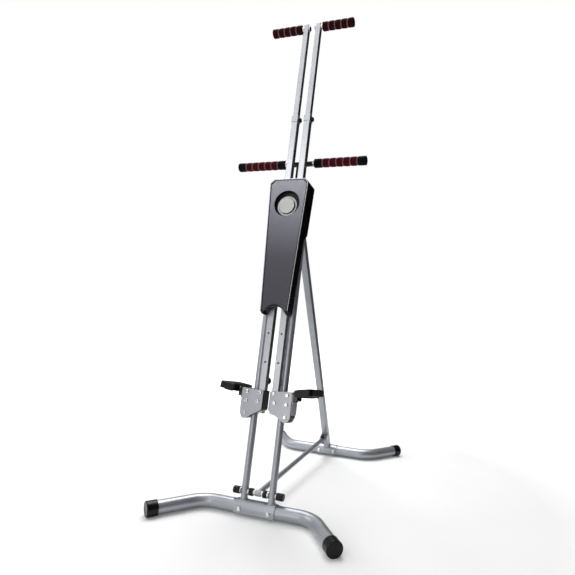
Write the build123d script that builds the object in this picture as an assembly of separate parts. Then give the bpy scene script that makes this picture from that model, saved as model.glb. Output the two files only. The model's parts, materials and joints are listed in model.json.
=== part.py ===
from build123d import *
import os
from math import atan2, cos, degrees, radians, sin

# Upright climbing exerciser that stands on two bent base tubes.
# Millimetres, +Z up, X across the machine, +Y away from the user.
# The origin is on the floor, midway between the two base tubes.
# The rail frame has the same X, S up along the rails and N square to them, pointing to the rear.

# Stance
BASE_SPACING = 800
BASE_HEIGHT = 26
RAIL_LEAN = 9.27
LEG_LEAN = 26.95

# Base tubes and their end caps
BASE_R = 24
BASE_WALL = 2
BASE_END_X = 335
BASE_END_SWEEP = 161
BASE_CORNER_X = 209
BASE_BEND_R = 100
CAP_R = 27
CAP_LENGTH = 37
CAP_END = 5

# Saddles that hold the base tubes
SADDLE_R = 27.2
SADDLE_BORE = 24.2
SADDLE_SKIRT = 14
FRONT_SADDLE_HALF = 76
REAR_SADDLE_HALF = 50
FRONT_BOLT_X = 55
REAR_BOLT_X = 38
BOLT_R = 4
HEAD_R = 8
HEAD_HEIGHT = 5

# Rails and the stop axle
RAIL_X = 53.1
RAIL_R = 12.5
RAIL_WALL = 1.5
RAIL_TOP = 1196
AXLE_S = 52
AXLE_R = 6
AXLE_END = 90
WASHER_R = 11
SPACER_R = 9
WASHERS = ((66, 70), (34, 40.2))
SPACERS = ((10.4, 20),)
BUSH_R = 13
BUSH_X0 = 20
BUSH_X1 = 34
BUMPER_R = 12.8
BUMPER_X0 = 70
BUMPER_X1 = 96

# Sliding arms, square tube
ARM_X = 26
ARM_N = -9
ARM_SIZE = 25
ARM_WALL = 1.5
ARM_BOTTOM = 325
ARM_TOP = 1487
ARM_HOLES = (508, 614, 720, 826)
ARM_HOLE_R = 3.5
LUG_S = 888

# Telescopic uppers and top handles
UPPER_SIZE = 21
UPPER_WALL = 1.5
UPPER_BOTTOM = 1337
UPPER_TOP = 1906
COLLAR_SIZE = 29
COLLAR_S0 = 1466
COLLAR_S1 = 1490
LOCK_S = 1476
LOCK_PIN_R = 4
LOCK_KNOB_R = 9
LOCK_KNOB_LENGTH = 8
UPPER_HOLE_PITCH = 50
HANDLE_S = 1893
HANDLE_R = 9.5
HANDLE_X0 = 13.5
HANDLE_X1 = 172
TOP_GRIP_X0 = 44.5
TOP_GRIP_X1 = 176.5
TOP_GRIP_SEGMENTS = 5
GRIP_R = 17.8
GRIP_GROOVE = 1.6

# Fixed handlebar
BAR_S = 1306
BAR_N = 27
BAR_R = 11
BAR_HALF = 268
BAR_GRIP_X0 = 60
BAR_GRIP_X1 = 272
BAR_GRIP_SEGMENTS = 7
STEM_SIZE = 25
STEM_N = 29
STEM_BOTTOM = 1160
STEM_BOLTS = (1173, 1190)
RING_R = 14
RING_X0 = 55
GRIP_END = 4

# Carriages
PLATE_N = -31.5
PLATE_T = 3
BLOCK_N0 = -28.5
BLOCK_N1 = 17
PLATE_INNER_X = 14.5
BLOCK_INNER_X = 11.5
PLATE_OUTER_X = 97
PLATE_TOP = 411
PLATE_LOW = 303
CARRIAGE_BOLTS = ((78, 397), (78, 365), (78, 322), (26.3, 397.6), (32.3, 366.4))
RAIL_PLAY = 0.1

# Arm knobs
KNOB_S = 441
KNOB_R = 14.5
KNOB_N0 = 7
KNOB_N1 = 22

# Pedals
HINGE_X = 109
HINGE_S = 410
HINGE_R = 3
PEDAL_X0 = 117
PEDAL_X1 = 178
PEDAL_N0 = -61.5
PEDAL_N1 = 81.5
PEDAL_T = 24
PEDAL_TILT = 8
PEDAL_RISE = 8
KNUCKLE_N0 = -22
KNUCKLE_N1 = 18
LUG_T = 4

# Cover
COVER_N0 = -56
COVER_N1 = 12
COVER_NOTCH_N = -14
COVER_NOTCH_S = 1000
COVER_S0 = 680
COVER_S1 = 1204
COVER_HALF0 = 55
COVER_HALF1 = 78.5
COVER_WALL = 2.5
COVER_CHAMFER = 16
COVER_ARCH = 30
ARCH_GAP_X = 47
COVER_SCREW_X = 70
COVER_SCREW_S = (1125, 1180)
SCREW_R = 1.6
FASCIA_T = 1.2
FASCIA_INSET = 7
TIMER_S = 1104
RECESS_R = 51
RECESS_N = -43
TIMER_DROP = 8
TIMER_R = 39.5
TIMER_N = -50
TIMER_WELL = 4
DISC_R = 31
DISC_N = -56

# Pulley and cable
PULLEY_S = 1145
PULLEY_N = -32
PULLEY_R = 28.5
PULLEY_T = 11
CABLE_R = 2.5
CABLE_X = 26
PULLEY_PIN_R = 5
PULLEY_PIN_N = -41
PIN_SPACER_R = 9

# Crosshead and rear leg
CROSS_N0 = 12.5
CROSS_N1 = 16.5
CROSS_S0 = 1095
LEG_HINGE_N = 55
LEG_SIZE = 28
LEG_WALL = 2
LEG_EAR_T = 4
LEG_PIN_R = 5
LEG_LUG = ((-86, 92), (-84, 108), (-72, 116), (-58, 126), (-30, 84), (-18, 60),
           (-40, 62), (-66, 76))

# Strut
STRUT_R = 9.5
STRUT_WALL = 1.5
STRUT_EYE_R = 11
STRUT_EYE_HALF = 10
STRUT_PIVOT = (-74, 100.6)
STRUT_PIN_R = 4
STRUT_TAIL = 14
STRUT_PAD_HALF = 7
STRUT_PAD_Y0 = 15
STRUT_PAD_Y1 = 33
STRUT_PAD_TOP = 20
HOOK_ANGLE = -54.4

RUN_FIT = 0.06
TOUCH_GAP = 0.4

os.makedirs("parts", exist_ok=True)


def on_rails(shape):
    """Move a shape from the rail frame into the machine's frame."""
    return Location((0, -BASE_SPACING / 2, BASE_HEIGHT), (-RAIL_LEAN, 0, 0)) * shape


def save(name, *shapes):
    """Write one node, which may hold several separate solids."""
    solids = [solid for shape in shapes for solid in shape.solids()]
    export_step(Compound(children=solids) if len(solids) > 1 else solids[0], f"parts/{name}.step")


def box(x0, x1, y0, y1, z0, z1):
    """A block between two corners."""
    low = (min(x0, x1), min(y0, y1), min(z0, z1))
    high = (max(x0, x1), max(y0, y1), max(z0, z1))
    size = [b - a for a, b in zip(low, high)]
    return Location(low) * Box(*size, align=(Align.MIN, Align.MIN, Align.MIN))


def rod_x(radius, x0, x1, y, z):
    """A round bar along X."""
    length = abs(x1 - x0)
    return Location(((x0 + x1) / 2, y, z), (0, 90, 0)) * Cylinder(radius, length)


def rod_y(radius, x, y0, y1, z):
    """A round bar along Y, or along N in the rail frame."""
    return Location((x, (y0 + y1) / 2, z), (90, 0, 0)) * Cylinder(radius, abs(y1 - y0))


def rod_z(radius, x, y, z0, z1):
    """A round bar along Z, or along S in the rail frame."""
    return Location((x, y, (z0 + z1) / 2)) * Cylinder(radius, abs(z1 - z0))


def plate_yz(points, x0, x1):
    """A flat plate square to X, from its outline in Y and Z."""
    outline = Plane.YZ.offset(min(x0, x1)) * make_face(Polyline(*points, close=True))
    return extrude(outline, abs(x1 - x0))


def plate_xs(outline, n0, n1):
    """A flat plate square to N, from a face drawn in X and S."""
    face = Plane((0, n0, 0), x_dir=(1, 0, 0), z_dir=(0, -1, 0)) * outline
    return extrude(face, -abs(n1 - n0))


def dome(radius, height, x, y, z, toward):
    """A bolt's rounded head whose flat side is at y and whose crown points toward +Y or -Y."""
    head = Cylinder(radius, height, align=(Align.CENTER, Align.CENTER, Align.MIN))
    head = fillet(head.edges().sort_by(Axis.Z)[-1], height * 0.7)
    return Location((x, y, z), (-90 * toward, 0, 0)) * head


def square_tube(size, wall, x, n, s0, s1, corner=2):
    """A square tube along S."""
    outer = Location((x, n, (s0 + s1) / 2)) * Box(size, size, s1 - s0)
    outer = fillet(outer.edges().filter_by(Axis.Z), corner)
    inner = Location((x, n, (s0 + s1) / 2)) * Box(size - 2 * wall, size - 2 * wall, s1 - s0)
    return outer - inner


# Base tubes, end caps and saddles

def base_path(side):
    """Centre line of a base tube; side is -1 for the front one and +1 for the rear one."""
    y = side * BASE_SPACING / 2
    splay = BASE_END_X - BASE_CORNER_X
    slant = (splay ** 2 + BASE_END_SWEEP ** 2) ** 0.5
    reach = 1 - CAP_END / slant
    points = []
    for hand in (-1, 1):
        tip = (hand * (BASE_CORNER_X + reach * splay), y + side * reach * BASE_END_SWEEP, BASE_HEIGHT)
        corner = (hand * BASE_CORNER_X, y, BASE_HEIGHT)
        points += [tip, corner] if hand < 0 else [corner, tip]
    return FilletPolyline(*points, radius=BASE_BEND_R)


def base_tube(side, bolt_x):
    path = base_path(side)
    ring = Plane(origin=path @ 0, z_dir=path % 0) * (Circle(BASE_R) - Circle(BASE_R - BASE_WALL))
    tube = sweep(ring, path=path)
    y = side * BASE_SPACING / 2
    for x in (-bolt_x, bolt_x):
        tube -= rod_y(BOLT_R, x, y - 40, y + 40, BASE_HEIGHT)
    return tube


def base_caps(side):
    """The two plastic end caps of a base tube, each a cup with a flat under it to stand on."""
    caps = []
    turn = degrees(atan2(BASE_END_SWEEP, BASE_END_X - BASE_CORNER_X))
    for hand in (-1, 1):
        cup = Cylinder(CAP_R, CAP_LENGTH, align=(Align.CENTER, Align.CENTER, Align.MAX))
        cup = fillet(cup.edges().sort_by(Axis.Z)[-1], 3)
        bore = Location((0, 0, -CAP_END)) * Cylinder(
            BASE_R, CAP_LENGTH, align=(Align.CENTER, Align.CENTER, Align.MAX))
        heading = side * hand * turn + (0 if hand > 0 else 180)
        place = Location((hand * BASE_END_X, side * (BASE_SPACING / 2 + BASE_END_SWEEP), BASE_HEIGHT))
        cap = place * Rotation(0, 0, heading) * Rotation(0, 90, 0) * (cup - bore)
        caps.append(cap - box(-400, 400, -700, 700, -10, 0))
    return caps


def saddle(side, half, bolt_x):
    """Bent plate over a base tube."""
    y = side * BASE_SPACING / 2
    low = BASE_HEIGHT - SADDLE_SKIRT
    body = rod_x(SADDLE_R, -half, half, y, BASE_HEIGHT)
    body += box(-half, half, y - SADDLE_R, y + SADDLE_R, low, BASE_HEIGHT)
    body -= box(-half, half, y - 40, y + 40, -40, low)
    body -= rod_x(SADDLE_BORE, -half, half, y, BASE_HEIGHT)
    body -= box(-half, half, y - SADDLE_BORE, y + SADDLE_BORE, low, BASE_HEIGHT)
    for x in (-bolt_x, bolt_x):
        body -= rod_y(BOLT_R, x, y - 40, y + 40, BASE_HEIGHT)
    return body


def saddle_bolts(side, bolt_x):
    bolts = []
    y = side * BASE_SPACING / 2
    for x in (-bolt_x, bolt_x):
        bolt = rod_y(BOLT_R, x, y - SADDLE_R - 1, y + SADDLE_R + 6, BASE_HEIGHT)
        bolt += dome(HEAD_R, HEAD_HEIGHT, x, y - SADDLE_R, BASE_HEIGHT, -1)
        nut = extrude(RegularPolygon(7, 6), 5)
        bolt += Location((x, y + SADDLE_R, BASE_HEIGHT), (-90, 0, 0)) * nut
        bolts.append(bolt)
    return bolts


for end, side, half, bolt_x in (("front", -1, FRONT_SADDLE_HALF, FRONT_BOLT_X),
                                ("rear", 1, REAR_SADDLE_HALF, REAR_BOLT_X)):
    save(f"{end}_base_tube", base_tube(side, bolt_x))
    save(f"{end}_base_caps", *base_caps(side))
    save(f"{end}_saddle", saddle(side, half, bolt_x))
    save(f"{end}_saddle_bolts", *saddle_bolts(side, bolt_x))


# Rails and the stop axle

def rail(hand):
    x = hand * RAIL_X
    body = rod_z(RAIL_R, x, 0, 5, RAIL_TOP) - rod_z(RAIL_R - RAIL_WALL, x, 0, 5, RAIL_TOP)
    body -= rod_x(SADDLE_R, x - 30, x + 30, 0, 0)
    body -= rod_x(AXLE_R, x - 30, x + 30, 0, AXLE_S)
    return body


save("left_rail", on_rails(rail(-1)))
save("right_rail", on_rails(rail(1)))

axle = rod_x(AXLE_R, -AXLE_END, AXLE_END, 0, AXLE_S)
washers = []
for hand in (-1, 1):
    for radius, gaps in ((WASHER_R, WASHERS), (SPACER_R, SPACERS)):
        for x0, x1 in gaps:
            ring = rod_x(radius, hand * x0, hand * x1, 0, AXLE_S)
            washers.append(on_rails(ring - axle))
save("axle_rod", on_rails(axle), *washers)

bumpers = []
bushes = []
for hand in (-1, 1):
    bumper = rod_x(BUMPER_R, hand * BUMPER_X0, hand * BUMPER_X1, 0, AXLE_S)
    bumper = fillet(bumper.edges(), 2.5)
    bumpers.append(on_rails(bumper - axle))
    bushes.append(on_rails(rod_x(BUSH_R, hand * BUSH_X0, hand * BUSH_X1, 0, AXLE_S) - axle))
save("axle_bumpers", *bumpers)
save("axle_bushes", *bushes)


# Crosshead bracket, leg hinge and fixed handlebar

LEG_LENGTH = ((BASE_SPACING * cos(radians(RAIL_LEAN)) - LEG_HINGE_N)
              / sin(radians(LEG_LEAN + RAIL_LEAN)))
LEG_HINGE_S = (BASE_SPACING * sin(radians(RAIL_LEAN))
               + LEG_LENGTH * cos(radians(LEG_LEAN + RAIL_LEAN)))
EAR_X0 = LEG_SIZE / 2 + TOUCH_GAP
EAR_X1 = EAR_X0 + LEG_EAR_T

crosshead = box(-62, 62, CROSS_N0, CROSS_N1, CROSS_S0, 1200)
for s in COVER_SCREW_S:
    crosshead += box(-COVER_SCREW_X - 3, COVER_SCREW_X + 3, CROSS_N0, CROSS_N1, s - 8, s + 8)
    for hand in (-1, 1):
        crosshead -= rod_y(SCREW_R, hand * COVER_SCREW_X, 0, 30, s)
for hand in (-1, 1):
    ear = plate_yz([(CROSS_N1, LEG_HINGE_S - 34), (CROSS_N1, LEG_HINGE_S + 14),
                    (LEG_HINGE_N - 4, LEG_HINGE_S + 14), (LEG_HINGE_N + 14, LEG_HINGE_S + 8),
                    (LEG_HINGE_N + 14, LEG_HINGE_S - 12), (LEG_HINGE_N - 10, LEG_HINGE_S - 22)],
                   hand * EAR_X0, hand * EAR_X1)
    crosshead += ear
crosshead -= rod_x(LEG_PIN_R, -40, 40, LEG_HINGE_N, LEG_HINGE_S)
crosshead -= rod_y(PULLEY_PIN_R, 0, 0, 30, PULLEY_S)
for s in STEM_BOLTS:
    crosshead -= rod_y(BOLT_R, 0, 0, 30, s)
save("crosshead_bracket", on_rails(crosshead))

leg_pin = rod_x(LEG_PIN_R, -EAR_X1 - 4, EAR_X1 + 4, LEG_HINGE_N, LEG_HINGE_S)
for hand in (-1, 1):
    leg_pin += rod_x(8, hand * EAR_X1, hand * (EAR_X1 + 5), LEG_HINGE_N, LEG_HINGE_S)
save("leg_hinge_pin", on_rails(leg_pin))

bar = rod_x(BAR_R, -BAR_HALF, BAR_HALF, BAR_N, BAR_S)
stem = fillet(box(-STEM_SIZE / 2, STEM_SIZE / 2, STEM_N - STEM_SIZE / 2, STEM_N + STEM_SIZE / 2,
                  STEM_BOTTOM, BAR_S).edges().filter_by(Axis.Z), 2)
handlebar = bar + stem
for s in STEM_BOLTS:
    handlebar -= rod_y(BOLT_R, 0, 0, 60, s)
save("handlebar", on_rails(handlebar))

stem_bolts = []
for s in STEM_BOLTS:
    bolt = rod_y(BOLT_R, 0, CROSS_N0, STEM_N + STEM_SIZE / 2 + 4, s)
    bolt += dome(7, 4, 0, STEM_N + STEM_SIZE / 2, s, 1)
    bolt += rod_y(7, 0, CROSS_N0 - 3.5, CROSS_N0, s)
    stem_bolts.append(on_rails(bolt))
save("stem_bolts", *stem_bolts)


def grip(x0, x1, bore, segments, n, s):
    """Foam sleeve with rounded segments, closed at its outer end x1."""
    length = abs(x1 - x0)
    pitch = length / segments
    sleeve = None
    for index in range(segments):
        bead = Location((0, 0, (index + 0.5) * pitch)) * Cylinder(GRIP_R, pitch)
        bead = fillet(bead.edges(), GRIP_GROOVE)
        sleeve = bead if sleeve is None else sleeve + bead
    sleeve -= Cylinder(bore, length - GRIP_END, align=(Align.CENTER, Align.CENTER, Align.MIN))
    turn = 90 if x1 > x0 else -90
    return Location((x0, n, s), (0, turn, 0)) * sleeve


grips = []
rings = []
for hand in (-1, 1):
    sleeve = grip(hand * BAR_GRIP_X0, hand * BAR_GRIP_X1, BAR_R, BAR_GRIP_SEGMENTS, BAR_N, BAR_S)
    grips.append(on_rails(sleeve))
    ring = rod_x(RING_R, hand * RING_X0, hand * BAR_GRIP_X0, BAR_N, BAR_S) - bar
    rings.append(on_rails(ring))
save("handlebar_grips", *grips)
save("handlebar_rings", *rings)


# Cover, fascia and timer

def cover_outline(inset):
    """Face outline of the cover in X and S, with an arch between its two feet."""
    low = COVER_S0 + inset
    high = COVER_S1 - inset
    half0 = COVER_HALF0 - inset
    half1 = COVER_HALF1 - inset
    foot = 8
    with BuildSketch() as sketch:
        with BuildLine():
            Polyline((-half0 + foot, low), (-half0, low + 12), (-half1, high - COVER_CHAMFER),
                     (-half1 + COVER_CHAMFER, high), (half1 - COVER_CHAMFER, high), (half1, high - COVER_CHAMFER),
                     (half0, low + 12), (half0 - foot, low))
            ThreePointArc((half0 - foot, low), (0, low + COVER_ARCH), (-half0 + foot, low))
        make_face()
    return sketch.sketch


shell = plate_xs(cover_outline(0), COVER_N0, COVER_N1)
shell -= plate_xs(cover_outline(COVER_WALL), COVER_N0 + COVER_WALL, COVER_N1)
shell -= plate_yz([(COVER_NOTCH_N, 600), (COVER_NOTCH_N, COVER_NOTCH_S - 26), (30, COVER_NOTCH_S + 16),
                   (30, 600)], -90, 90)
cup = rod_y(RECESS_R + 2, 0, COVER_N0 + COVER_WALL, RECESS_N + 2, TIMER_S)
shell += cup
shell -= rod_y(RECESS_R, 0, COVER_N0 - 5, RECESS_N, TIMER_S)
slot = ARM_SIZE / 2 + 1.2
for hand in (-1, 1):
    shell -= box(hand * ARM_X - slot, hand * ARM_X + slot, ARM_N - slot, ARM_N + slot, 1190, 1210)
shell -= box(-ARCH_GAP_X, ARCH_GAP_X, COVER_N0 + 8, COVER_N1, COVER_S0 - 10, COVER_S0 + 40)
screws = []
for s in COVER_SCREW_S:
    half = COVER_HALF0 + (s - COVER_S0) / (COVER_S1 - COVER_S0) * (COVER_HALF1 - COVER_HALF0)
    for hand in (-1, 1):
        x = hand * COVER_SCREW_X
        shell += box(hand * (RAIL_X + RAIL_R + 0.4), hand * (half - 1), 0, COVER_N1, s - 6, s + 6)
        shell -= rod_y(SCREW_R, x, -12, 30, s)
        screw = rod_y(SCREW_R, x, 2, CROSS_N1 + 1, s) + rod_y(3, x, CROSS_N1, CROSS_N1 + 2, s)
        screws.append(on_rails(screw))
save("cover_shell", on_rails(shell))
save("cover_screws", *screws)

fascia = plate_xs(cover_outline(FASCIA_INSET), COVER_N0 - FASCIA_T, COVER_N0)
fascia -= rod_y(RECESS_R, 0, -80, 0, TIMER_S)
save("cover_fascia", on_rails(fascia))

face_s = TIMER_S - TIMER_DROP
timer = rod_y(TIMER_R, 0, TIMER_N, RECESS_N, face_s)
timer = fillet(timer.edges(), 1.5)
timer -= rod_y(DISC_R + 2.5, 0, TIMER_N - 1, TIMER_N + TIMER_WELL, face_s)
save("timer_body", on_rails(timer))
disc = fillet(rod_y(DISC_R, 0, DISC_N, TIMER_N + TIMER_WELL - 2, face_s).edges(), 1.5)
save("timer_button", on_rails(disc))


# Pulley, its pin and the cable between the arms

pulley = rod_y(PULLEY_R, 0, PULLEY_N - PULLEY_T / 2, PULLEY_N + PULLEY_T / 2, PULLEY_S)
groove = Location((0, PULLEY_N, PULLEY_S), (90, 0, 0)) * Torus(CABLE_X, CABLE_R + 0.3)
groove += (rod_y(PULLEY_R + 1, 0, PULLEY_N - CABLE_R - 0.3, PULLEY_N + CABLE_R + 0.3, PULLEY_S)
           - rod_y(CABLE_X, 0, PULLEY_N - 10, PULLEY_N + 10, PULLEY_S))
pulley -= groove
pulley -= rod_y(PULLEY_PIN_R + RUN_FIT, 0, -60, 0, PULLEY_S)
save("pulley", on_rails(pulley))

pulley_pin = rod_y(PULLEY_PIN_R, 0, PULLEY_PIN_N, CROSS_N1, PULLEY_S)
pulley_pin += rod_y(PIN_SPACER_R, 0, PULLEY_N + PULLEY_T / 2 + TOUCH_GAP, CROSS_N0, PULLEY_S)
pulley_pin += rod_y(8, 0, PULLEY_PIN_N, PULLEY_N - PULLEY_T / 2 - TOUCH_GAP, PULLEY_S)
save("pulley_pin", on_rails(pulley_pin))

cable = (Location((0, PULLEY_N, PULLEY_S), (90, 0, 0)) * Torus(CABLE_X, CABLE_R)
         - box(-60, 60, -80, 20, PULLEY_S - 60, PULLEY_S))
for hand in (-1, 1):
    cable += rod_z(CABLE_R, hand * CABLE_X, PULLEY_N, LUG_S + 10, PULLEY_S)
save("drive_cable", on_rails(cable))


# Arms, carriages, knobs, telescopic uppers and pedals

def carriage_outline(inner_x):
    """Carriage plate's face on the right-hand side, in X and S, with a lobe at its lower end."""
    with BuildSketch() as sketch:
        with BuildLine():
            Polyline((inner_x, PLATE_TOP - 5), (inner_x, 338), (56, 315), (74, PLATE_LOW),
                     (88, PLATE_LOW), (PLATE_OUTER_X, 322), (PLATE_OUTER_X, PLATE_TOP),
                     (inner_x, PLATE_TOP - 5))
        make_face()
        corners = sketch.vertices().sort_by(Axis.Y)
        fillet(corners[:2], 8)
        fillet(corners[-2:], 7)
        fillet(sketch.vertices().group_by(Axis.X)[0].sort_by(Axis.Y)[0], 8)
    return sketch.sketch


def bolt_holes(hand, n0, n1):
    return [rod_y(BOLT_R, hand * x, n0, n1, s) for x, s in CARRIAGE_BOLTS]


def mirrored(shape, hand):
    return shape if hand > 0 else shape.mirror(Plane.YZ)


for name, hand in (("left", -1), ("right", 1)):
    arm_x = hand * ARM_X
    arm = square_tube(ARM_SIZE, ARM_WALL, arm_x, ARM_N, ARM_BOTTOM, ARM_TOP)
    front_n = ARM_N - ARM_SIZE / 2
    for s in ARM_HOLES:
        arm -= rod_y(ARM_HOLE_R, arm_x, front_n - 5, front_n + 5, s)
    for hole in bolt_holes(hand, -60, 60):
        arm -= hole
    arm -= rod_y(4, arm_x, 0, 10, KNOB_S)
    arm -= rod_x(LOCK_PIN_R + TOUCH_GAP, arm_x + 5, arm_x + 20, ARM_N, LOCK_S)
    lug = box(arm_x - 6, arm_x + 6, PULLEY_N - 4, front_n, LUG_S - 10, LUG_S + 10)
    arm += lug
    save(f"{name}_arm_tube", on_rails(arm))

    plate = mirrored(plate_xs(carriage_outline(PLATE_INNER_X), PLATE_N, PLATE_N + PLATE_T), hand)
    block = mirrored(plate_xs(carriage_outline(BLOCK_INNER_X), BLOCK_N0, BLOCK_N1), hand)
    block -= rod_z(RAIL_R + RAIL_PLAY, hand * RAIL_X, 0, 250, 450)
    half = ARM_SIZE / 2
    block -= box(arm_x - half, arm_x + half, ARM_N - half, ARM_N + half, 250, 450)
    rear = mirrored(plate_xs(carriage_outline(PLATE_INNER_X), BLOCK_N1, BLOCK_N1 + PLATE_T), hand)
    rear += box(hand * PLATE_OUTER_X, hand * (PLATE_OUTER_X + PLATE_T), BLOCK_N0 + 1,
                BLOCK_N1 + PLATE_T, 330, PLATE_TOP - 8)
    for hole in bolt_holes(hand, -60, 60):
        plate -= hole
        block -= hole
        rear -= hole
    save(f"{name}_carriage_front_plate", on_rails(plate))
    save(f"{name}_guide_block", on_rails(block))
    save(f"{name}_carriage_rear_plate", on_rails(rear))

    bolts = []
    for x, s in CARRIAGE_BOLTS:
        bolt = rod_y(BOLT_R, hand * x, PLATE_N - 1, BLOCK_N1 + PLATE_T + 7, s)
        bolt += dome(7, 4, hand * x, PLATE_N, s, -1)
        nut = Location((hand * x, BLOCK_N1 + PLATE_T, s), (-90, 0, 0)) * extrude(RegularPolygon(7, 6), 5)
        bolts.append(on_rails(bolt + nut))
    save(f"{name}_carriage_bolts", *bolts)

    knob = rod_y(KNOB_R, arm_x, KNOB_N0, KNOB_N1, KNOB_S)
    knob = fillet(knob.edges(), 3)
    knob += rod_y(4 - RUN_FIT, arm_x, ARM_N + 2, KNOB_N0 + 3, KNOB_S)
    save(f"{name}_arm_knob", on_rails(knob))

    collar_half = COLLAR_SIZE / 2
    collar = box(arm_x - collar_half, arm_x + collar_half, ARM_N - collar_half, ARM_N + collar_half,
                 COLLAR_S0, COLLAR_S1)
    collar = fillet(collar.edges().filter_by(Axis.Z), 3)
    collar -= box(arm_x - half, arm_x + half, ARM_N - half, ARM_N + half, COLLAR_S0, ARM_TOP)
    bore = UPPER_SIZE / 2 + TOUCH_GAP
    collar -= box(arm_x - bore, arm_x + bore, ARM_N - bore, ARM_N + bore, COLLAR_S0, COLLAR_S1)
    collar -= rod_x(LOCK_PIN_R + TOUCH_GAP, arm_x + 5, arm_x + 20, ARM_N, LOCK_S)
    save(f"{name}_collar", on_rails(collar))

    knob_x = arm_x + collar_half + TOUCH_GAP
    lock = rod_x(LOCK_KNOB_R, knob_x, knob_x + LOCK_KNOB_LENGTH, ARM_N, LOCK_S)
    lock = fillet(lock.edges(), 2)
    lock += rod_x(LOCK_PIN_R, arm_x + UPPER_SIZE / 2 + RUN_FIT, knob_x + 2, ARM_N, LOCK_S)
    save(f"{name}_lock_knob", on_rails(lock))

    upper = square_tube(UPPER_SIZE, UPPER_WALL, arm_x, ARM_N, UPPER_BOTTOM, UPPER_TOP, 1.4)
    upper += Location((arm_x, ARM_N, UPPER_TOP - 1)) * Box(UPPER_SIZE - 2, UPPER_SIZE - 2, 2)
    for step in range(-2, 3):
        hole_s = LOCK_S + step * UPPER_HOLE_PITCH
        upper -= rod_x(LOCK_PIN_R + TOUCH_GAP, arm_x + 5, arm_x + 20, ARM_N, hole_s)
    upper -= rod_x(HANDLE_R, arm_x - 20, arm_x + 20, ARM_N, HANDLE_S)
    save(f"{name}_upper_tube", on_rails(upper))

    handle = rod_x(HANDLE_R, hand * HANDLE_X0, hand * HANDLE_X1, ARM_N, HANDLE_S)
    handle -= rod_x(HANDLE_R - 1.5, hand * (HANDLE_X0 + 3), hand * HANDLE_X1, ARM_N, HANDLE_S)
    handle += rod_x(HANDLE_R + 1, hand * (HANDLE_X0 - 2.5), hand * HANDLE_X0, ARM_N, HANDLE_S)
    save(f"{name}_handle_tube", on_rails(handle))
    top_grip = grip(hand * TOP_GRIP_X0, hand * TOP_GRIP_X1, HANDLE_R, TOP_GRIP_SEGMENTS,
                    ARM_N, HANDLE_S)
    save(f"{name}_top_grip", on_rails(top_grip))

    bracket_x = PLATE_OUTER_X + PLATE_T
    bracket = box(bracket_x, bracket_x + 3, KNUCKLE_N0 - LUG_T - 1, KNUCKLE_N1 + 1, 376, 402)
    bracket += box(bracket_x, HINGE_X + 3, KNUCKLE_N0, KNUCKLE_N1, 380, 386)
    for n0 in (KNUCKLE_N0 - LUG_T - TOUCH_GAP, KNUCKLE_N1 + TOUCH_GAP):
        bracket += plate_yz([(n0, 380), (n0, 416), (n0 + LUG_T, 416), (n0 + LUG_T, 380)],
                            bracket_x, HINGE_X + 5)
    bracket -= rod_y(HINGE_R, HINGE_X, -60, 60, HINGE_S)
    save(f"{name}_pedal_bracket", on_rails(mirrored(bracket, hand)))

    pin = rod_y(HINGE_R, HINGE_X, KNUCKLE_N0 - LUG_T - 3, KNUCKLE_N1 + LUG_T + 3, HINGE_S)
    save(f"{name}_pedal_pin", on_rails(mirrored(pin, hand)))

    foot_s = HINGE_S + PEDAL_RISE
    foot = box(PEDAL_X0, PEDAL_X1, PEDAL_N0, PEDAL_N1, foot_s - PEDAL_T, foot_s)
    foot = fillet(foot.edges().filter_by(Axis.Z).group_by(Axis.X)[-1], 14)
    foot = fillet(foot.edges().group_by(Axis.Z)[-1], 3)
    knuckle = rod_y(5, HINGE_X, KNUCKLE_N0, KNUCKLE_N1, HINGE_S)
    knuckle += box(HINGE_X, PEDAL_X0 + 2, KNUCKLE_N0, KNUCKLE_N1, HINGE_S - 17, HINGE_S + 5)
    pedal = foot + knuckle
    pedal -= rod_y(HINGE_R + RUN_FIT, HINGE_X, -80, 100, HINGE_S)
    at_hinge = Location((HINGE_X, 0, HINGE_S))
    tilted = at_hinge * Rotation(0, -PEDAL_TILT, 0) * at_hinge.inverse() * pedal
    save(f"{name}_pedal", on_rails(mirrored(tilted, hand)))


# Rear leg and strut

BASE_CENTRE = Location((0, BASE_SPACING / 2, BASE_HEIGHT))
leg_half = LEG_SIZE / 2
leg = box(-leg_half, leg_half, -leg_half, leg_half, 10, LEG_LENGTH)
leg = fillet(leg.edges().filter_by(Axis.Z), 2.5)
leg += rod_x(leg_half, -leg_half, leg_half, 0, LEG_LENGTH)
inside = leg_half - LEG_WALL
leg -= box(-inside, inside, -inside, inside, 0, LEG_LENGTH - 20)
leg -= rod_x(SADDLE_R, -40, 40, 0, 0)
leg -= rod_x(LEG_PIN_R + RUN_FIT, -40, 40, 0, LEG_LENGTH)
leg = BASE_CENTRE * Rotation(LEG_LEAN, 0, 0) * leg
ear_points = [(BASE_SPACING / 2 + y, z) for y, z in LEG_LUG]
for hand in (-1, 1):
    leg += plate_yz(ear_points, hand * leg_half, hand * (leg_half + 3))
pivot_y = BASE_SPACING / 2 + STRUT_PIVOT[0]
pivot_z = STRUT_PIVOT[1]
leg -= rod_x(STRUT_PIN_R, -40, 40, pivot_y, pivot_z)
save("rear_leg", leg)

strut_pin = rod_x(STRUT_PIN_R, -20, 20, pivot_y, pivot_z)
for hand in (-1, 1):
    strut_pin += rod_x(7, hand * 17, hand * 21, pivot_y, pivot_z)
    strut_pin += rod_x(6, hand * (STRUT_EYE_HALF + TOUCH_GAP), hand * 14, pivot_y, pivot_z)
save("strut_pin", strut_pin)

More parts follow.
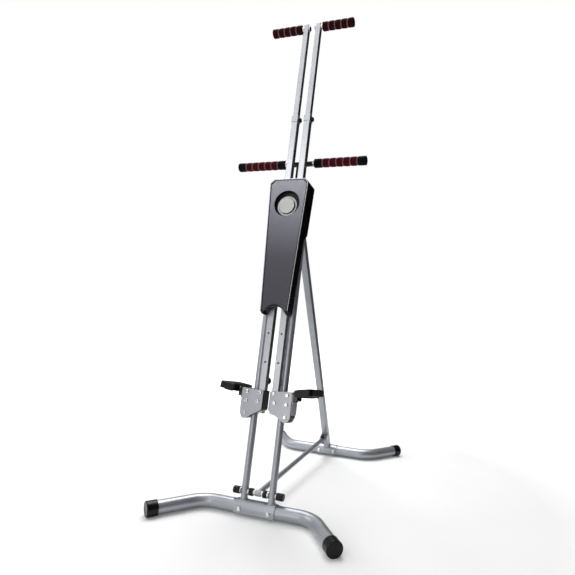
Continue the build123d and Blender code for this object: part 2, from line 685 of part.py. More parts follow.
axle_y = -BASE_SPACING / 2 + AXLE_S * sin(radians(RAIL_LEAN))
axle_z = BASE_HEIGHT + AXLE_S * cos(radians(RAIL_LEAN))
run_y = pivot_y - axle_y
run_z = pivot_z - axle_z
strut_length = (run_y ** 2 + run_z ** 2) ** 0.5
strut_slope = degrees(atan2(run_z, run_y))
strut = rod_y(STRUT_R, 0, 4, strut_length + STRUT_TAIL, 0)
strut -= rod_y(STRUT_R - STRUT_WALL, 0, 20, strut_length - 12, 0)
strut += rod_x(STRUT_EYE_R, -STRUT_EYE_HALF, STRUT_EYE_HALF, 0, 0)
strut += rod_x(STRUT_EYE_R - 1, -STRUT_EYE_HALF, STRUT_EYE_HALF, strut_length, 0)
strut -= rod_x(AXLE_R + TOUCH_GAP, -30, 30, 0, 0)
strut -= rod_x(STRUT_PIN_R + RUN_FIT, -30, 30, strut_length, 0)
mouth = plate_yz([(-2, -AXLE_R - TOUCH_GAP), (30, -AXLE_R - 4), (30, AXLE_R + 4),
                  (-2, AXLE_R + TOUCH_GAP)], -30, 30)
strut -= Rotation(HOOK_ANGLE - strut_slope, 0, 0) * mouth
strut = Location((0, axle_y, axle_z)) * Rotation(strut_slope, 0, 0) * strut
save("strut", strut)

pad = box(-STRUT_PAD_HALF, STRUT_PAD_HALF, strut_length - STRUT_PAD_Y1, strut_length - STRUT_PAD_Y0,
          0, STRUT_PAD_TOP)
pad = fillet(pad.edges().group_by(Axis.Z)[-1], 2)
pad -= rod_y(STRUT_R, 0, 0, strut_length + STRUT_TAIL, 0)
pad -= box(-20, 20, 0, strut_length, -5, 5)
pad = Location((0, axle_y, axle_z)) * Rotation(strut_slope, 0, 0) * pad
save("strut_bumper", pad)
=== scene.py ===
import json
import math

import bmesh
import bpy
from mathutils import Matrix, Vector


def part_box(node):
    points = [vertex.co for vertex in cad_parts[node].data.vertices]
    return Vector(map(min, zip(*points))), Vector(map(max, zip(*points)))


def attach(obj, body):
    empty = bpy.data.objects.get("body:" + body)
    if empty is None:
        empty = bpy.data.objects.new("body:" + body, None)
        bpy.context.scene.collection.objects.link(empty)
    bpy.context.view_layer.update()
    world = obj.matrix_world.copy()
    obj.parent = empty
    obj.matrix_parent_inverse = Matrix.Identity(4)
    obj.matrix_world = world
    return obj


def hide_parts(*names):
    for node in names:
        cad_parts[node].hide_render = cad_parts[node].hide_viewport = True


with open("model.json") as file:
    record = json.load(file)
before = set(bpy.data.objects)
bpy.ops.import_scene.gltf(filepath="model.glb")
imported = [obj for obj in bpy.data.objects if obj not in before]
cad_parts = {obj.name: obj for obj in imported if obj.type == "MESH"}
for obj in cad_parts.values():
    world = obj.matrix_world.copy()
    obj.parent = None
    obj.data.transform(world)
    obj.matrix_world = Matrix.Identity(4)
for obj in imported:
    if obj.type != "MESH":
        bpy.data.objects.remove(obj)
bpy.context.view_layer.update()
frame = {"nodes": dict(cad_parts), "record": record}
NODES = frame["nodes"]
MM = 0.001

# Rail frame: X, N square to the rails and S up along them, the same as in the CAD source.
BASE_SPACING = 800
BASE_HEIGHT = 26
RAIL_LEAN = math.radians(9.27)
LEG_LEAN = math.radians(26.95)
RAIL_ORIGIN = Vector((0, -BASE_SPACING / 2, BASE_HEIGHT)) * MM
N_AXIS = Vector((0, math.cos(RAIL_LEAN), -math.sin(RAIL_LEAN)))
S_AXIS = Vector((0, math.sin(RAIL_LEAN), math.cos(RAIL_LEAN)))
RAILS = Matrix.Translation(RAIL_ORIGIN) @ Matrix.Rotation(-RAIL_LEAN, 4, "X")
HANDS = (("left", -1), ("right", 1))
RAIL_X = 53.1
ARM_N = -9
HANDLE_S = 1893
BAR_N = 27
BAR_S = 1306
TIMER_S = 1104
TIMER_N = -54

# Camera, at the photograph's viewing angle
CAMERA_PLACE = (0.6967, -1.8559, 0.7049)
CAMERA_RIGHT = (0.95033, 0.30707, 0.05080)
CAMERA_UP = (-0.04519, -0.02536, 0.99866)
CAMERA_LENS = 28.64
CAMERA_SHIFT = (-0.0711, 0.0436)


def rail_point(x, n, s):
    """A point of the rail frame, given in millimetres, in the machine's frame in metres."""
    return RAIL_ORIGIN + Vector((x, 0, 0)) * MM + N_AXIS * n * MM + S_AXIS * s * MM


# Node building

class Shader:
    """One procedural material, with short calls that add and link its nodes."""

    def __init__(self, name, **settings):
        self.material = bpy.data.materials.new(name)
        self.material.use_nodes = True
        self.tree = self.material.node_tree
        self.bsdf = self.tree.nodes["Principled BSDF"]
        for key, value in settings.items():
            self.bsdf.inputs[key.replace("_", " ")].default_value = value
        self.place = self.add("ShaderNodeTexCoord").outputs["Object"]

    def add(self, kind, **inputs):
        node = self.tree.nodes.new(kind)
        for key, value in inputs.items():
            self.put(node.inputs[key.replace("_", " ")], value)
        return node

    def put(self, socket, value):
        if isinstance(value, bpy.types.NodeSocket):
            self.tree.links.new(value, socket)
        else:
            socket.default_value = value

    def stretched(self, scale):
        """The object's own coordinates, scaled differently along each axis."""
        node = self.add("ShaderNodeMapping", Vector=self.place)
        node.inputs["Scale"].default_value = scale
        return node.outputs["Vector"]

    def noise(self, scale, detail=2.0, roughness=0.5, vector=None):
        node = self.add("ShaderNodeTexNoise", Vector=vector or self.place, Scale=scale,
                        Detail=detail, Roughness=roughness)
        return node.outputs["Fac"]

    def cells(self, scale):
        return self.add("ShaderNodeTexVoronoi", Vector=self.place, Scale=scale).outputs["Distance"]

    def ramp(self, fac, *stops):
        """A colour ramp; each stop is a place and a grey level or a colour."""
        node = self.add("ShaderNodeValToRGB", Fac=fac)
        elements = node.color_ramp.elements
        while len(elements) < len(stops):
            elements.new(0.5)
        for element, (place, tone) in zip(elements, stops):
            element.position = place
            element.color = (*tone, 1) if isinstance(tone, tuple) else (tone, tone, tone, 1)
        return node.outputs["Color"]

    def remap(self, fac, low, high, from_low=0.0, from_high=1.0):
        node = self.add("ShaderNodeMapRange", Value=fac, From_Min=from_low, From_Max=from_high,
                        To_Min=low, To_Max=high)
        return node.outputs["Result"]

    def math(self, operation, a, b=0.0):
        node = self.tree.nodes.new("ShaderNodeMath")
        node.operation = operation
        self.put(node.inputs[0], a)
        self.put(node.inputs[1], b)
        return node.outputs["Value"]

    def mix(self, fac, a, b, blend="MIX"):
        node = self.tree.nodes.new("ShaderNodeMix")
        node.data_type = "RGBA"
        node.blend_type = blend
        self.put(node.inputs["Factor"], fac)
        self.put(node.inputs["A"], (*a, 1) if isinstance(a, tuple) else a)
        self.put(node.inputs["B"], (*b, 1) if isinstance(b, tuple) else b)
        return node.outputs["Result"]

    def edges(self, radius):
        """How sharply the surface turns here: 0 on a flat, towards 1 on a corner."""
        bevel = self.add("ShaderNodeBevel", Radius=radius)
        geometry = self.add("ShaderNodeNewGeometry")
        dot = self.tree.nodes.new("ShaderNodeVectorMath")
        dot.operation = "DOT_PRODUCT"
        self.put(dot.inputs[0], bevel.outputs["Normal"])
        self.put(dot.inputs[1], geometry.outputs["Normal"])
        return self.remap(dot.outputs["Value"], 1.0, 0.0, 0.75, 0.99), bevel.outputs["Normal"]

    def bump(self, height, distance, strength=1.0, normal=None):
        node = self.add("ShaderNodeBump", Height=height, Distance=distance, Strength=strength)
        if normal is not None:
            self.put(node.inputs["Normal"], normal)
        return node.outputs["Normal"]

    def finish(self, color, roughness, normal=None):
        self.put(self.bsdf.inputs["Base Color"], color)
        self.put(self.bsdf.inputs["Roughness"], roughness)
        if normal is not None:
            self.put(self.bsdf.inputs["Normal"], normal)
        return self.material


# Materials

def powder_coat(name, color, metallic, gloss, wear, uneven=0.05):
    """Baked silver paint: metal flake, orange peel, uneven mottling and rubbed edges."""
    shader = Shader(name, Metallic=metallic, Coat_Weight=0.15, Coat_Roughness=0.15)
    edge, rounded = shader.edges(0.0012)
    flake = shader.ramp(shader.cells(2600), (0.15, 1.05), (0.6, 0.95))
    mottle = shader.ramp(shader.noise(9, 4), (0.3, 0.93), (0.7, 1.04))
    paint = shader.mix(1.0, color, flake, "MULTIPLY")
    paint = shader.mix(1.0, paint, mottle, "MULTIPLY")
    rubbed = shader.math("MULTIPLY", edge, shader.remap(shader.noise(60, 3), 0, wear, 0.45, 0.7))
    paint = shader.mix(rubbed, paint, (0.78, 0.78, 0.8))
    smears = shader.remap(shader.noise(24, 5, 0.6), gloss - uneven, gloss + uneven, 0.3, 0.7)
    return shader.finish(paint, smears, shader.bump(shader.noise(420, 2), 0.00012, 0.35, rounded))


def plated(name, color, gloss, stretch):
    """Zinc or chrome plate with fine drawn lines along one axis and a few cloudy patches."""
    shader = Shader(name, Metallic=1.0)
    lines = shader.noise(90, 4, 0.6, shader.stretched(stretch))
    edge, rounded = shader.edges(0.0008)
    tone = shader.mix(1.0, color, shader.ramp(lines, (0.3, 0.86), (0.7, 1.06)), "MULTIPLY")
    tone = shader.mix(shader.remap(edge, 0, 0.5), tone, (0.9, 0.9, 0.9))
    cloud = shader.remap(shader.noise(45, 4), gloss - 0.04, gloss + 0.1, 0.3, 0.7)
    return shader.finish(tone, cloud, shader.bump(lines, 0.00005, 0.25, rounded))


def moulded(name, color, gloss, grain, depth):
    """Moulded plastic or rubber: pebbled grain, faint scuffs and dust on its edges."""
    shader = Shader(name, Specular_IOR_Level=0.25)
    edge, rounded = shader.edges(0.001)
    scuff = shader.ramp(shader.noise(70, 5, 0.65), (0.52, 0.0), (0.75, 0.35))
    dusty = tuple(0.8 * part + 0.014 for part in color)
    tone = shader.mix(scuff, color, dusty)
    tone = shader.mix(shader.remap(edge, 0, 0.3), tone, tuple(part + 0.03 for part in color))
    shine = shader.remap(shader.noise(30, 4), gloss - 0.05, gloss + 0.12, 0.3, 0.7)
    return shader.finish(tone, shine, shader.bump(shader.cells(grain), depth, 0.5, rounded))


def foam(name, x_low, x_high, core, ends, stripes):
    """Grip foam in two colours along X, with open cells, and a paler colour in its grooves."""
    shader = Shader(name, Sheen_Weight=0.015, Sheen_Roughness=0.5, Specular_IOR_Level=0.07)
    x = shader.math("ABSOLUTE", shader.add("ShaderNodeSeparateXYZ", Vector=shader.place).outputs["X"])
    middle = shader.math("MULTIPLY", shader.remap(x, 0, 1, x_low, x_low + 0.002),
                         shader.remap(x, 1, 0, x_high - 0.002, x_high))
    tone = shader.mix(middle, ends, core)
    groove = shader.tree.nodes.new("ShaderNodeAttribute")
    groove.attribute_name = "groove"
    # A paler pink-grey colour laid into the grooves between the foam segments.
    pale_grooves = shader.math("MULTIPLY", groove.outputs["Fac"], shader.remap(shader.noise(200), 0.6, 1.0))
    tone = shader.mix(pale_grooves, tone, stripes)
    tone = shader.mix(0.6, tone, shader.ramp(shader.cells(900), (0.1, 0.55), (0.5, 1.15)), "MULTIPLY")
    pores = shader.math("ADD", shader.cells(1100), shader.noise(500, 4))
    shine = shader.remap(shader.noise(60), 0.62, 0.8)
    return shader.finish(tone, shine, shader.bump(pores, 0.0004, 0.5))


def fascia(name, low, high):
    """Printed panel shaded from dark grey at its foot to light grey at its head."""
    shader = Shader(name, Metallic=0.35, Coat_Weight=0.3, Coat_Roughness=0.2)
    z = shader.add("ShaderNodeSeparateXYZ", Vector=shader.place).outputs["Z"]
    shade = shader.ramp(shader.remap(z, 0, 1, low, high),
                        (0.0, (0.05, 0.047, 0.06)), (0.4, (0.065, 0.062, 0.08)),
                        (0.75, (0.17, 0.17, 0.205)), (1.0, (0.30, 0.30, 0.35)))
    speck = shader.ramp(shader.cells(1800), (0.1, 1.15), (0.6, 0.92))
    shade = shader.mix(1.0, shade, speck, "MULTIPLY")
    shine = shader.remap(shader.noise(40, 4), 0.3, 0.44, 0.3, 0.7)
    return shader.finish(shade, shine, shader.bump(shader.noise(900, 2), 0.00006, 0.3))


def wire_rope(name):
    """Coated wire rope: strands that wind round it show through as slanting ridges, with painted shade
    in the grooves between them.
    """
    shader = Shader(name, Metallic=0.8, Coat_Weight=0.5)
    wave = shader.add("ShaderNodeTexWave", Vector=shader.stretched((1.0, 0.2, 0.6)), Scale=260.0)
    wave.bands_direction = "DIAGONAL"
    twist = wave.outputs["Fac"]
    # Painted shade: the colour darkens in the grooves between the strands and is lightest on their
    # crowns.
    tone = shader.mix(twist, (0.12, 0.125, 0.13), (0.42, 0.43, 0.45))
    return shader.finish(tone, shader.remap(twist, 0.3, 0.5), shader.bump(twist, 0.0006, 0.8))


def turned(name, color, centre):
    """Silver plastic with the fine rings of a turned face about the timer's centre."""
    shader = Shader(name, Metallic=0.7, Coat_Weight=0.3)
    away = shader.tree.nodes.new("ShaderNodeVectorMath")
    away.operation = "DISTANCE"
    shader.put(away.inputs[0], shader.place)
    away.inputs[1].default_value = centre
    rings = shader.math("SINE", shader.math("MULTIPLY", away.outputs["Value"], 5200))
    tone = shader.mix(shader.remap(rings, 0, 0.25, -1, 1), color, (0.62, 0.62, 0.6))
    tone = shader.mix(1.0, tone, shader.ramp(shader.noise(50, 3), (0.3, 0.95), (0.7, 1.03)), "MULTIPLY")
    shine = shader.remap(shader.noise(70), 0.3, 0.42)
    return shader.finish(tone, shine, shader.bump(rings, 0.00004, 0.3))


fascia_low, fascia_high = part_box("cover_fascia")
GRIP_DARK = (0.004, 0.003, 0.004)
GRIP_RED = (0.055, 0.0015, 0.005)
# Colour of the paler rings laid into the grip grooves.
GRIP_GROOVE_PALE = (0.30, 0.17, 0.18)
BAR_GRIP = (60, 272)
BAR_GRIP_END = 36
TOP_GRIP = (44.5, 176.5)

SLOT_MATERIALS = {
    "frame_paint": powder_coat("frame_paint", (0.40, 0.415, 0.45), 0.55, 0.34, 0.4),
    "arm_paint": powder_coat("arm_paint", (0.50, 0.515, 0.54), 0.9, 0.3, 0.3, 0.015),
    "plate_steel": powder_coat("plate_steel", (0.44, 0.45, 0.48), 0.5, 0.38, 0.4),
    "black_paint": powder_coat("black_paint", (0.012, 0.012, 0.014), 0.1, 0.28, 0.12),
    "black_plastic": moulded("black_plastic", (0.006, 0.006, 0.007), 0.36, 1500, 0.00012),
    "nylon_block": moulded("nylon_block", (0.007, 0.007, 0.008), 0.42, 900, 0.0001),
    "rubber_black": moulded("rubber_black", (0.005, 0.005, 0.005), 0.27, 1100, 0.0001),
    "bolt_chrome": plated("bolt_chrome", (0.82, 0.82, 0.84), 0.14, (1, 1, 1)),
    "zinc_steel": plated("zinc_steel", (0.62, 0.63, 0.65), 0.26, (0.3, 6, 6)),
    "fascia_grey": fascia("fascia_grey", fascia_low.z, fascia_high.z),
    "timer_silver": turned("timer_silver", (0.36, 0.36, 0.355), rail_point(0, TIMER_N, TIMER_S)),
    "cable_steel": wire_rope("cable_steel"),
}
BAR_FOAM = foam("bar_foam", (BAR_GRIP[0] + BAR_GRIP_END) * MM, (BAR_GRIP[1] - BAR_GRIP_END) * MM,
                GRIP_RED, GRIP_DARK, GRIP_GROOVE_PALE)
TOP_FOAM = foam("top_foam", TOP_GRIP[0] * MM, TOP_GRIP[1] * MM,
                (0.024, 0.0008, 0.002), GRIP_DARK, GRIP_GROOVE_PALE)

for part in frame["record"]["subparts"]:
    slot = part["material_slot"]
    if slot in SLOT_MATERIALS:
        NODES[part["node"]].data.materials.clear()
        NODES[part["node"]].data.materials.append(SLOT_MATERIALS[slot])


# Mesh pieces

def piece(name, mesh, material, body):
    """Put a mesh in the scene as a piece that rides on a body."""
    item = bpy.data.objects.new(name, mesh)
    bpy.context.scene.collection.objects.link(item)
    mesh.materials.append(material)
    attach(item, body)
    return item


def grip_profile(segments, groove_width, groove_depth, radius, end_round):
    """Points (along, radius, groove share) of a foam grip with rounded segments."""
    total = sum(segments)
    seams = [sum(segments[:index]) for index in range(1, len(segments))]
    points = []
    steps = 220
    for index in range(steps + 1):
        along = total * index / steps
        share = 0.0
        bulge = 0.0
        for seam in seams:
            offset = abs(along - seam)
            share = max(share, math.exp(-(offset / groove_width) ** 2))
            bulge = max(bulge, math.exp(-(offset / (3.2 * groove_width)) ** 2))
        r = radius - groove_depth * share - 0.8 * bulge
        edge = min(along, total - along)
        if edge < end_round:
            r -= end_round - math.sqrt(max(0.0, end_round ** 2 - (end_round - edge) ** 2))
        points.append((along, r, share))
    return points


def lathe(name, rows, hole, place, sides=72):
    """Turn (along, radius, mark) rows about a line into a mesh, closed at its far end."""
    mesh = bpy.data.meshes.new(name)
    build = bmesh.new()
    mark = build.verts.layers.float.new("groove")
    rings = []
    first = rows[0]
    last = rows[-1]
    inner = [(first[0] + 1.0, hole, 0.0), (first[0], hole + 1.0, 0.0)]
    outer = [(last[0], hole + 2.0, 0.0), (last[0] - 1.0, hole, 0.0)]
    for along, radius, share in inner + list(rows) + outer:
        ring = []
        for index in range(sides):
            angle = 2 * math.pi * index / sides
            spot = (along * MM, radius * math.cos(angle) * MM, radius * math.sin(angle) * MM)
            vertex = build.verts.new(spot)
            vertex[mark] = share
            ring.append(vertex)
        rings.append(ring)
    for low, high in zip(rings, rings[1:]):
        for index in range(sides):
            after = (index + 1) % sides
            build.faces.new((low[index], high[index], high[after], low[after]))
    build.faces.new(rings[-1])
    bmesh.ops.recalc_face_normals(build, faces=build.faces)
    for face in build.faces:
        face.smooth = True
    bmesh.ops.transform(build, matrix=place, verts=build.verts)
    build.to_mesh(mesh)
    build.free()
    return mesh


def grip_place(hand, x, n, s):
    """Where a grip starts, pointing outward to the left or to the right."""
    turn = Matrix.Identity(4) if hand > 0 else Matrix.Rotation(math.pi, 4, "Z")
    return Matrix.Translation(rail_point(hand * x, n, s)) @ turn


GRIP_R = 17.6
GRIP_END_ROUND = 4.0
GROOVE_WIDTH = 1.9
BAR_GROOVE_DEPTH = 1.7
TOP_GROOVE_DEPTH = 1.9
BAR_BORE = 11.2
TOP_BORE = 9.7
GRIP_RINGS = 5

middle = (BAR_GRIP[1] - BAR_GRIP[0] - 2 * BAR_GRIP_END) / GRIP_RINGS
bar_rows = grip_profile([BAR_GRIP_END] + [middle] * GRIP_RINGS + [BAR_GRIP_END],
                        GROOVE_WIDTH, BAR_GROOVE_DEPTH, GRIP_R, GRIP_END_ROUND)
bar_grips = []
for side, hand in HANDS:
    mesh = lathe(f"{side}_bar_foam", bar_rows, BAR_BORE, grip_place(hand, BAR_GRIP[0], BAR_N, BAR_S))
    bar_grips.append(piece(f"{side}_bar_grip_foam", mesh, BAR_FOAM, "frame"))
for item in bar_grips:
    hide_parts("handlebar_grips")

top_rows = grip_profile([(TOP_GRIP[1] - TOP_GRIP[0]) / GRIP_RINGS] * GRIP_RINGS,
                        GROOVE_WIDTH, TOP_GROOVE_DEPTH, GRIP_R, GRIP_END_ROUND)
for side, hand in HANDS:
    mesh = lathe(f"{side}_top_foam", top_rows, TOP_BORE, grip_place(hand, TOP_GRIP[0], ARM_N, HANDLE_S))
    item = piece(f"{side}_top_grip_foam", mesh, TOP_FOAM, f"{side}_upper")
    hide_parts(f"{side}_top_grip")


# Beads: the cover's rim and the welds

def bead(name, points, radius, body, material, radii=None, cyclic=True):
    """A round bead that follows points, as a mesh."""
    curve = bpy.data.curves.new(name, "CURVE")
    curve.dimensions = "3D"
    curve.bevel_depth = radius * MM
    curve.bevel_resolution = 4
    curve.use_fill_caps = not cyclic
    line = curve.splines.new("POLY")
    line.points.add(len(points) - 1)
    for index, point in enumerate(points):
        line.points[index].co = (*point, 1)
        line.points[index].radius = radii[index] if radii else 1.0
    line.use_cyclic_u = cyclic
    helper = bpy.data.objects.new(name + "_line", curve)
    mesh = bpy.data.meshes.new_from_object(helper)
    bpy.data.objects.remove(helper)
    mesh.materials.clear()
    for polygon in mesh.polygons:
        polygon.use_smooth = True
    return piece(name, mesh, material, body)


def rounded_path(corners, radius, steps=6):
    """An open line through the corners, with an arc of about this radius at each inner one."""
    path = [Vector(corners[0])]
    for index in range(1, len(corners) - 1):
        before = Vector(corners[index - 1])
        here = Vector(corners[index])
        after = Vector(corners[index + 1])
        back = (before - here).normalized()
        ahead = (after - here).normalized()
        reach = min(radius, (before - here).length / 2, (after - here).length / 2)
        start = here + back * reach
        end = here + ahead * reach
        for step in range(steps + 1):
            t = step / steps
            path.append(start * (1 - t) ** 2 + here * 2 * t * (1 - t) + end * t ** 2)
    path.append(Vector(corners[-1]))
    return path


COVER_S = (680, 1204)
COVER_HALF = (55, 78.5)
COVER_FACE_N = -56
COVER_CHAMFER = 16
RIM_INSET = 2.3
RIM_R = 2.1


def cover_path(inset, n):
    """The sides and top of the cover's face, from one foot to the other, moved in by an inset."""
    low = COVER_S[0] + inset
    high = COVER_S[1] - inset
    half0 = COVER_HALF[0] - inset
    half1 = COVER_HALF[1] - inset
    corners = [(-half0, low + 12), (-half1, high - COVER_CHAMFER), (-half1 + COVER_CHAMFER, high),
               (half1 - COVER_CHAMFER, high), (half1, high - COVER_CHAMFER), (half0, low + 12)]
    flat = rounded_path([(x, s, 0) for x, s in corners], 6)
    return [rail_point(point.x, n, point.y) for point in flat]


RIM_SILVER = powder_coat("rim_silver", (0.5, 0.5, 0.54), 0.8, 0.25, 0.3)
bead("cover_rim", cover_path(RIM_INSET, COVER_FACE_N - 0.4), RIM_R, "frame", RIM_SILVER,
     cyclic=False)

WELD_R = 2.2
SADDLE_R = 27.2
RAIL_TOE_R = 12.6
LEG_TOE_HALF = 14.2


def weld_radii(count):
    """A weld's width along its run, rising and falling at each pass of the torch."""
    return [1 + 0.22 * math.sin(2 * math.pi * index / 4) for index in range(count)]


def weld(name, outline, place, body):
    """A weld bead where a tube of this outline, in X and N, lands on a saddle of SADDLE_R."""
    points = [place @ (Vector((x, n, math.sqrt(SADDLE_R ** 2 - n ** 2))) * MM) for x, n in outline]
    bead(name, points, WELD_R, body, SLOT_MATERIALS["frame_paint"],
         weld_radii(len(points)))


for side, hand in HANDS:
    circle = [(hand * RAIL_X + RAIL_TOE_R * math.cos(math.pi * step / 40),
               RAIL_TOE_R * math.sin(math.pi * step / 40)) for step in range(80)]
    weld(f"{side}_rail_weld", circle, RAILS, "frame")
LEG_PLACE = (Matrix.Translation(Vector((0, BASE_SPACING / 2, BASE_HEIGHT)) * MM)
             @ Matrix.Rotation(LEG_LEAN, 4, "X"))
square = []
for step in range(96):
    angle = 2 * math.pi * step / 96
    c, s = math.cos(angle), math.sin(angle)
    stretch = LEG_TOE_HALF / max(abs(c), abs(s))
    square.append((c * stretch, s * stretch))
weld("leg_weld", square, LEG_PLACE, "rear_frame")


# Pedal treads

HINGE = (109, 410)
PEDAL_TILT = math.radians(8)
PEDAL_TOP = 418
PEDAL_UNDER = 394
TREAD_X = (124, 172)
TREAD_MIDDLE = (TREAD_X[0] + TREAD_X[1]) / 2
RIB_COUNT = 13
RIB_START_N = -52
RIB_PITCH = 10.3
PAD_LENGTH = 34


def capsule(build, centre, length, width, height, place, segments=8):
    """A low rounded bar with its length along X, added to a mesh."""
    half = length / 2 - width / 2
    outline = []
    for end in (1, -1):
        for step in range(segments + 1):
            angle = -math.pi / 2 + math.pi * step / segments
            outline.append((end * (half + width / 2 * math.cos(angle)),
                            end * width / 2 * math.sin(angle)))
    levels = [(1.0, -1.0), (1.0, 0.55), (0.92, 0.85), (0.72, 1.0)]
    rings = []
    for scale, level in levels:
        shrink = (1 - scale) * width / 2
        ring = []
        for x, n in outline:
            size = math.hypot(x - math.copysign(half, x), n) or 1
            dx = (x - math.copysign(half, x)) / size * shrink
            spot = Vector((centre[0] + x - dx, centre[1] + n - n / size * shrink,
                           centre[2] + level * height))
            ring.append(build.verts.new(place @ (spot * MM)))
        rings.append(ring)
    for low, high in zip(rings, rings[1:]):
        for index in range(len(low)):
            after = (index + 1) % len(low)
            build.faces.new((low[index], low[after], high[after], high[index]))
    build.faces.new(rings[-1])
    build.faces.new(list(reversed(rings[0])))


for side, hand in HANDS:
    swing = (RAILS @ Matrix.Scale(hand, 4, (1, 0, 0))
             @ Matrix.Translation(Vector((HINGE[0], 0, HINGE[1])) * MM)
             @ Matrix.Rotation(-PEDAL_TILT, 4, "Y")
             @ Matrix.Translation(Vector((-HINGE[0], 0, -HINGE[1])) * MM))
    build = bmesh.new()
    for row in range(RIB_COUNT):
        rib = (TREAD_MIDDLE, RIB_START_N + row * RIB_PITCH, PEDAL_TOP)
        capsule(build, rib, TREAD_X[1] - TREAD_X[0], 4.2, 1.4, swing)
    for n in (-44, -6, 32, 66):
        capsule(build, (TREAD_MIDDLE - 3, n, PEDAL_UNDER - 1.5), PAD_LENGTH, 7, 2.5, swing)
    bmesh.ops.recalc_face_normals(build, faces=build.faces)
    for face in build.faces:
        face.smooth = len(face.verts) == 4
    mesh = bpy.data.meshes.new(f"{side}_pedal_tread")
    build.to_mesh(mesh)
    build.free()
    piece(f"{side}_pedal_tread", mesh, SLOT_MATERIALS["rubber_black"], f"{side}_pedal_body")


# Dark plugs in the inner ends of the two handle tubes

PLUG_X = 11
PLUG_PROFILE = ((0.0, 9.0), (0.8, 9.0), (1.6, 8.2), (2.0, 6.5), (2.1, 3.0))
for side, hand in HANDS:
    rows = [(along, radius, 0.0) for along, radius in PLUG_PROFILE]
    inward = Matrix.Translation(rail_point(hand * PLUG_X, ARM_N, HANDLE_S))
    if hand > 0:
        inward = inward @ Matrix.Rotation(math.pi, 4, "Z")
    mesh = lathe(f"{side}_plug", rows, 2.0, inward, sides=48)
    piece(f"{side}_handle_plug", mesh, SLOT_MATERIALS["black_plastic"], f"{side}_upper")


# Stage: floor, world, lights and camera

FLOOR_LIFT = 0.1
CARD_X = 0.62
CARD_TOP = 4.5
CARD_FRONT = -1.0
CARD_BACK = 3.2
FLOOR_REACH = 14


def stage_floor():
    """A pale floor, lit so that it fades into the white of the background."""
    shader = Shader("studio_floor")
    speck = shader.ramp(shader.noise(3, 2), (0.3, 0.86), (0.7, 0.88))
    floor_material = shader.finish(speck, 0.8)
    away = shader.tree.nodes.new("ShaderNodeVectorMath")
    away.operation = "LENGTH"
    shader.put(away.inputs[0], shader.place)
    far = shader.remap(away.outputs["Value"], FLOOR_LIFT, 1, 1.0, 2.6)
    seen = shader.add("ShaderNodeLightPath").outputs["Is Camera Ray"]
    shader.bsdf.inputs["Emission Color"].default_value = (1, 1, 1, 1)
    shader.put(shader.bsdf.inputs["Emission Strength"], shader.math("MULTIPLY", far, seen))
    mesh = bpy.data.meshes.new("floor")
    corners = [(-FLOOR_REACH, -FLOOR_REACH, 0), (FLOOR_REACH, -FLOOR_REACH, 0),
               (FLOOR_REACH, FLOOR_REACH, 0), (-FLOOR_REACH, FLOOR_REACH, 0)]
    mesh.from_pydata(corners, [], [(0, 1, 2, 3)])
    floor = bpy.data.objects.new("floor", mesh)
    bpy.context.scene.collection.objects.link(floor)
    mesh.materials.append(floor_material)


def studio_world():
    """White behind the object, and soft light that is bright from the left and above."""
    world = bpy.data.worlds.new("studio")
    world.use_nodes = True
    bpy.context.scene.world = world
    nodes = world.node_tree.nodes
    links = world.node_tree.links
    nodes.clear()
    coords = nodes.new("ShaderNodeTexCoord")
    dot = nodes.new("ShaderNodeVectorMath")
    dot.operation = "DOT_PRODUCT"
    links.new(coords.outputs["Generated"], dot.inputs[0])
    dot.inputs[1].default_value = Vector((-0.62, -0.25, 0.6)).normalized()
    ramp = nodes.new("ShaderNodeValToRGB")
    links.new(dot.outputs["Value"], ramp.inputs["Fac"])
    elements = ramp.color_ramp.elements
    elements[0].position = 0.0
    elements[0].color = (0.015, 0.015, 0.017, 1)
    elements[1].position = 0.75
    elements[1].color = (1.0, 1.0, 1.0, 1)
    light = nodes.new("ShaderNodeBackground")
    links.new(ramp.outputs["Color"], light.inputs["Color"])
    light.inputs["Strength"].default_value = 0.55
    white = nodes.new("ShaderNodeBackground")
    white.inputs["Color"].default_value = (1, 1, 1, 1)
    white.inputs["Strength"].default_value = 1.0
    path = nodes.new("ShaderNodeLightPath")
    mix = nodes.new("ShaderNodeMixShader")
    links.new(path.outputs["Is Camera Ray"], mix.inputs["Fac"])
    links.new(light.outputs["Background"], mix.inputs[1])
    links.new(white.outputs["Background"], mix.inputs[2])
    output = nodes.new("ShaderNodeOutputWorld")
    links.new(mix.outputs["Shader"], output.inputs["Surface"])


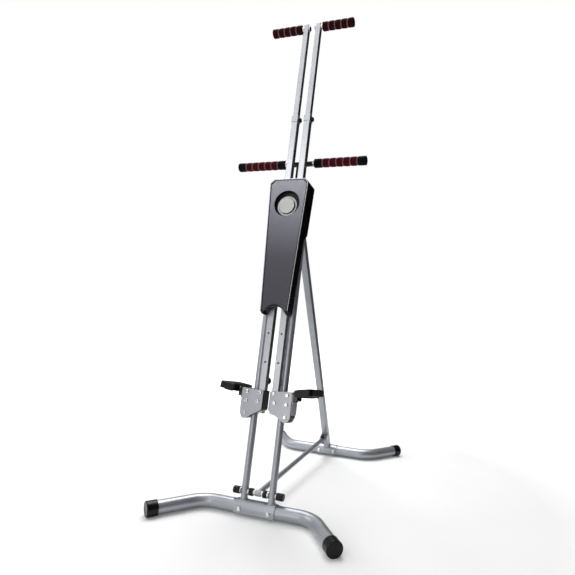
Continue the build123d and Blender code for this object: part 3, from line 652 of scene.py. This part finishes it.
def dark_card():
    """A black card that only reflections see; it keeps the right-hand sides of the tubes dark."""
    mesh = bpy.data.meshes.new("dark_card")
    corners = [(CARD_X, CARD_FRONT, 0), (CARD_X, CARD_BACK, 0),
               (CARD_X, CARD_BACK, CARD_TOP), (CARD_X, CARD_FRONT, CARD_TOP)]
    mesh.from_pydata(corners, [], [(0, 1, 2, 3)])
    card = bpy.data.objects.new("dark_card", mesh)
    bpy.context.scene.collection.objects.link(card)
    black = Shader("card_black", Specular_IOR_Level=0.0)
    tone = black.mix(black.noise(2), (0, 0, 0), (0.004, 0.004, 0.004))
    mesh.materials.append(black.finish(tone, 1.0))
    for ray in ("visible_camera", "visible_diffuse", "visible_shadow", "visible_transmission"):
        setattr(card, ray, False)


def soft_light(name, place, target, size, power):
    data = bpy.data.lights.new(name, "AREA")
    data.shape = "RECTANGLE"
    data.size = size[0]
    data.size_y = size[1]
    data.energy = power
    lamp = bpy.data.objects.new(name, data)
    lamp.location = place
    aim = Vector(target) - Vector(place)
    lamp.rotation_euler = aim.to_track_quat("-Z", "Y").to_euler()
    bpy.context.scene.collection.objects.link(lamp)


def make_camera():
    data = bpy.data.cameras.new("camera")
    camera = bpy.data.objects.new("camera", data)
    bpy.context.scene.collection.objects.link(camera)
    right = Vector(CAMERA_RIGHT).normalized()
    up = Vector(CAMERA_UP).normalized()
    back = right.cross(up)
    turn = Matrix((right, up, back)).transposed().to_4x4()
    camera.matrix_world = Matrix.Translation(CAMERA_PLACE) @ turn
    data.lens = CAMERA_LENS
    data.sensor_width = 36
    data.shift_x, data.shift_y = CAMERA_SHIFT
    data.clip_end = 60
    bpy.context.scene.camera = camera


stage_floor()
studio_world()
soft_light("key", (-1.5, -3.4, 3.4), (0, -0.2, 1.2), (1.5, 1.1), 13)
soft_light("side", (-3.0, -0.8, 2.2), (0, 0, 0.8), (2.0, 2.0), 24)
soft_light("high", (-1.5, -2.9, 5.2), (0, -0.2, 1.9), (1.6, 1.6), 8)
soft_light("overhead", (-0.7, 1.0, 3.6), (0, 0, 0), (2.4, 2.8), 115)
soft_light("front", (-0.6, -4.0, 1.0), (0, 0, 0.7), (1.6, 1.6), 20)
dark_card()
make_camera()
bpy.context.scene.view_settings.view_transform = "Standard"
